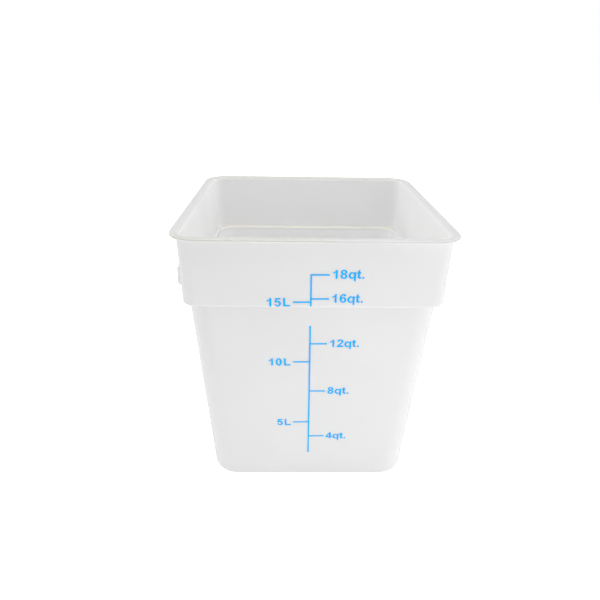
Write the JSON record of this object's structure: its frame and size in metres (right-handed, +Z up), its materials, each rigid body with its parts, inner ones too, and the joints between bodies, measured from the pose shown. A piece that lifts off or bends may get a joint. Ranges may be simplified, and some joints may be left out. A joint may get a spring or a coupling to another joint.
{
  "type": "square food storage container",
  "caption": "Square open food storage tub with a rolled-out rim, stepped collar, tapered body, moulded side grips and a printed fill scale on the front.",
  "frame": {"origin": "middle of the base at table level, which is the bottom centre of the bounding box", "axes": "+Z up through the open mouth; -Y out of the printed front; +X to the right seen from the front, through one of the two side grips"},
  "size_m": [0.2986, 0.2858, 0.3175],
  "materials": {
    "polypropylene": "translucent natural polypropylene, smooth moulded satin gloss",
    "scale_ink": "thin printed ink film"
  },
  "bodies": {
    "root": {"tub": "polypropylene", "upper_scale_print": "scale_ink", "lower_scale_print": "scale_ink"}
  },
  "joints": []
}
